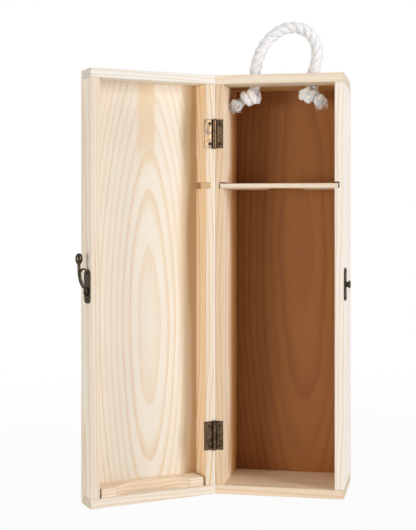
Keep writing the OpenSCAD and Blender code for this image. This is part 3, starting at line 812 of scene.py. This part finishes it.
# Its shapes are in millimetres from the rivet: out from the rail's side, and up the rail.
ARM_NEAR, ARM_REACH, ARM_FOOT, ARM_CURVE = 2.8, 5.3, 2.5, 5
KNOB_OUT = 8.05
HOOK_VOXEL = 0.00022


def rounded(c, power):
    return math.copysign(abs(c) ** (2 / power), c)


def bar(line, wide, thick, sides=20, power=3.2):
    """A bar with a rounded rectangular section along a line of (out, up) points. wide and thick
    are half sizes at shares of its length."""
    p, s = spline([(h, 0.0, z) for h, z in line], 0.4)
    t = unit(np.gradient(p, axis=0))
    out = np.column_stack([t[:, 2], np.zeros(len(p)), -t[:, 0]])
    w = np.interp(s / s[-1], *zip(*wide))
    th = np.interp(s / s[-1], *zip(*thick))
    verts = [tuple(p[i] + out[i] * (rounded(math.cos(a), power) * th[i])
                   + np.array((0, rounded(math.sin(a), power) * w[i], 0)))
             for i in range(len(p)) for a in circle(sides)]
    return verts, capped(len(p), sides)


def arm_out(z):
    """How far out the arm is at a height: it swings out at its foot and then runs upright."""
    return ARM_NEAR + ARM_REACH * (1 - math.exp(-(z - ARM_FOOT) / ARM_CURVE))


arm = bar([(arm_out(z), z) for z in np.linspace(1.6, 24.4, 14)],
          [(0, 2.3), (0.15, 2.0), (0.6, 1.7), (0.85, 1.5), (1, 1.4)],
          [(0, 1.1), (0.3, 1.3), (0.75, 1.25), (1, 1.2)])
claw = bar([(6.9, 15.6), (6.6, 16.9), (5.9, 17.9), (4.9, 18.25), (3.7, 18.15), (2.6, 18.0)],
           [(0, 1.5), (0.4, 2.3), (1, 2.1)], [(0, 0.8), (0.3, 0.85), (1, 0.7)])
knob = lathe([(21.6, 0.9), (22.2, 1.4), (22.9, 1.9), (23.8, 2.45), (24.9, 2.8), (26.2, 2.9),
              (27.5, 2.85), (28.7, 2.6), (29.6, 2.1), (30.3, 1.5), (30.75, 0.8), (30.9, 0.1)], 32)
knob = placed(knob, Matrix.Translation((KNOB_OUT, 0, 0)) @ Matrix.Rotation(-math.pi / 2, 4, "Y"))
eye = lathe([(1.6, 1.6), (1.6, 3.5), (1.75, 3.75), (2.35, 3.8), (2.9, 3.7), (3.1, 3.4),
             (3.1, 1.6)], 40)
hook_at = Matrix.Translation(swung(pivot_at)) @ OPEN.to_4x4()
hook = new_object("latch_hook_cast", *joined(
    [placed(shape, hook_at) for shape in (arm, claw, knob, eye)]))
remesh = hook.modifiers.new("cast", "REMESH")
remesh.mode, remesh.voxel_size = "VOXEL", HOOK_VOXEL
remesh.use_smooth_shade = True
soften = hook.modifiers.new("soften", "SMOOTH")
soften.factor, soften.iterations = 0.5, 3
dg = bpy.context.evaluated_depsgraph_get()
hook.data = bpy.data.meshes.new_from_object(hook.evaluated_get(dg))
hook.modifiers.clear()
hook.data.materials.append(BRASS)
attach(hook, "latch_hook")
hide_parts("latch_hook")

# ---------------------------------------------------------------- cotton


def cotton():
    """White cotton with fine threads along its yarns and a soft, fuzzy skin."""
    mat, n, bsdf = new_material("cotton_rope")
    place = n.coords()["Object"]
    along, around, _ = n.split(n.stored("yarn")["Vector"])
    thread = n.math("SINE", n.plus(n.times(around, 21.0), n.times(along, 2.5)))
    fuzz = n.noise(place, 1800.0, 4.0, 0.7, 1.0)
    cloud = n.noise(place, 140.0, 2.0, 0.5, 2.0)
    col = n.mix(n.step(cloud, 0.35, 0.7), rgb(252, 252, 254), rgb(245, 244, 247))
    n.fill(bsdf, {
        "Base Color": n.mix(n.times(n.step(fuzz, 0.62, 0.4), 0.25), col, rgb(232, 229, 229)),
        "Roughness": 0.9, "Sheen Weight": 0.9, "Specular IOR Level": 0.2,
        "Subsurface Weight": 0.3, "Subsurface Radius": (1.0, 1.0, 1.0),
        "Subsurface Scale": 0.001})
    n.bump(bsdf, n.plus(n.times(thread, 0.5), n.times(fuzz, 1.2)), 0.5, 0.00015)
    return mat


COTTON = cotton()
for obj in (rope, knot_left, knot_right):
    obj.data.materials.append(COTTON)

# ---------------------------------------------------------------- floor and light

WHITE = (1, 1, 1, 1)
FLOOR_HALF, FLOOR_GREY = 6.0, (0.8, 0.8, 0.8, 1)
SHADOW_NEAR, SHADOW_FAR, SHADOW_SHARE = 0.15, 0.8, 0.93
BOUNCE = 0.36        # share of plain white in the light that the floor throws up
WORLD_DIM = 0.05     # strength of the world as a light
LOOK_AT = (-0.03, -0.03, 0.18)

corners = [(-1, -1), (1, -1), (1, 1), (-1, 1)]
floor_mesh = bpy.data.meshes.new("floor")
floor_mesh.from_pydata([(x * FLOOR_HALF, y * FLOOR_HALF, 0) for x, y in corners],
                       [], [(0, 1, 2, 3)])
floor = linked("floor", floor_mesh)
mat = bpy.data.materials.new("floor")
n = cleared(mat)
pale = n.add("ShaderNodeBsdfDiffuse", {"Color": FLOOR_GREY})
glow = n.add("ShaderNodeEmission", {"Color": WHITE, "Strength": 1.0})
far = n.step(n.vector("LENGTH", n.coords()["Object"], out="Value"),
             SHADOW_NEAR, SHADOW_FAR, SHADOW_SHARE, 1.0)
blend = n.add("ShaderNodeMixShader", {0: n.math("MAXIMUM", n.times(n.seen(), far), BOUNCE),
                                      1: pale.outputs[0], 2: glow.outputs[0]})
n.add("ShaderNodeOutputMaterial", {0: blend.outputs[0]})
floor.data.materials.append(mat)

world = bpy.data.worlds.new("studio")
bpy.context.scene.world = world
n = cleared(world)
white = n.add("ShaderNodeBackground", {"Color": WHITE, "Strength": 1.0})
dim = n.add("ShaderNodeBackground", {"Color": WHITE, "Strength": WORLD_DIM})
blend = n.add("ShaderNodeMixShader", {0: n.seen(), 1: dim.outputs[0], 2: white.outputs[0]})
n.add("ShaderNodeOutputWorld", {0: blend.outputs[0]})


def softbox(name, azimuth, elevation, distance, width, height, power, tint=(1.0, 1.0, 1.0)):
    """A soft lamp that looks at the box. Azimuth 0 is in front and 90 on the right."""
    lamp = bpy.data.lights.new(name, "AREA")
    lamp.shape, lamp.size, lamp.size_y, lamp.energy = "RECTANGLE", width, height, power
    lamp.color = tint
    obj = linked(name, lamp)
    a, e = math.radians(azimuth), math.radians(elevation)
    away = Vector((math.sin(a) * math.cos(e), -math.cos(a) * math.cos(e), math.sin(e)))
    obj.location = Vector(LOOK_AT) + away * distance
    obj.rotation_euler = away.to_track_quat("Z", "Y").to_euler()


softbox("key", 68, 13, 1.5, 0.42, 1.1, 15.8, (0.98, 1.0, 1.03))
softbox("front", -34, 0, 1.8, 0.7, 0.5, 16, (1.0, 0.96, 0.9))
softbox("high", -8, 60, 1.6, 1.0, 0.9, 2.0)
softbox("top", 0, 89, 1.3, 0.8, 0.8, 4.5)
softbox("back", -150, 18, 1.6, 0.9, 0.9, 12, (1.0, 0.99, 0.97))

bpy.context.scene.view_settings.view_transform = "Standard"
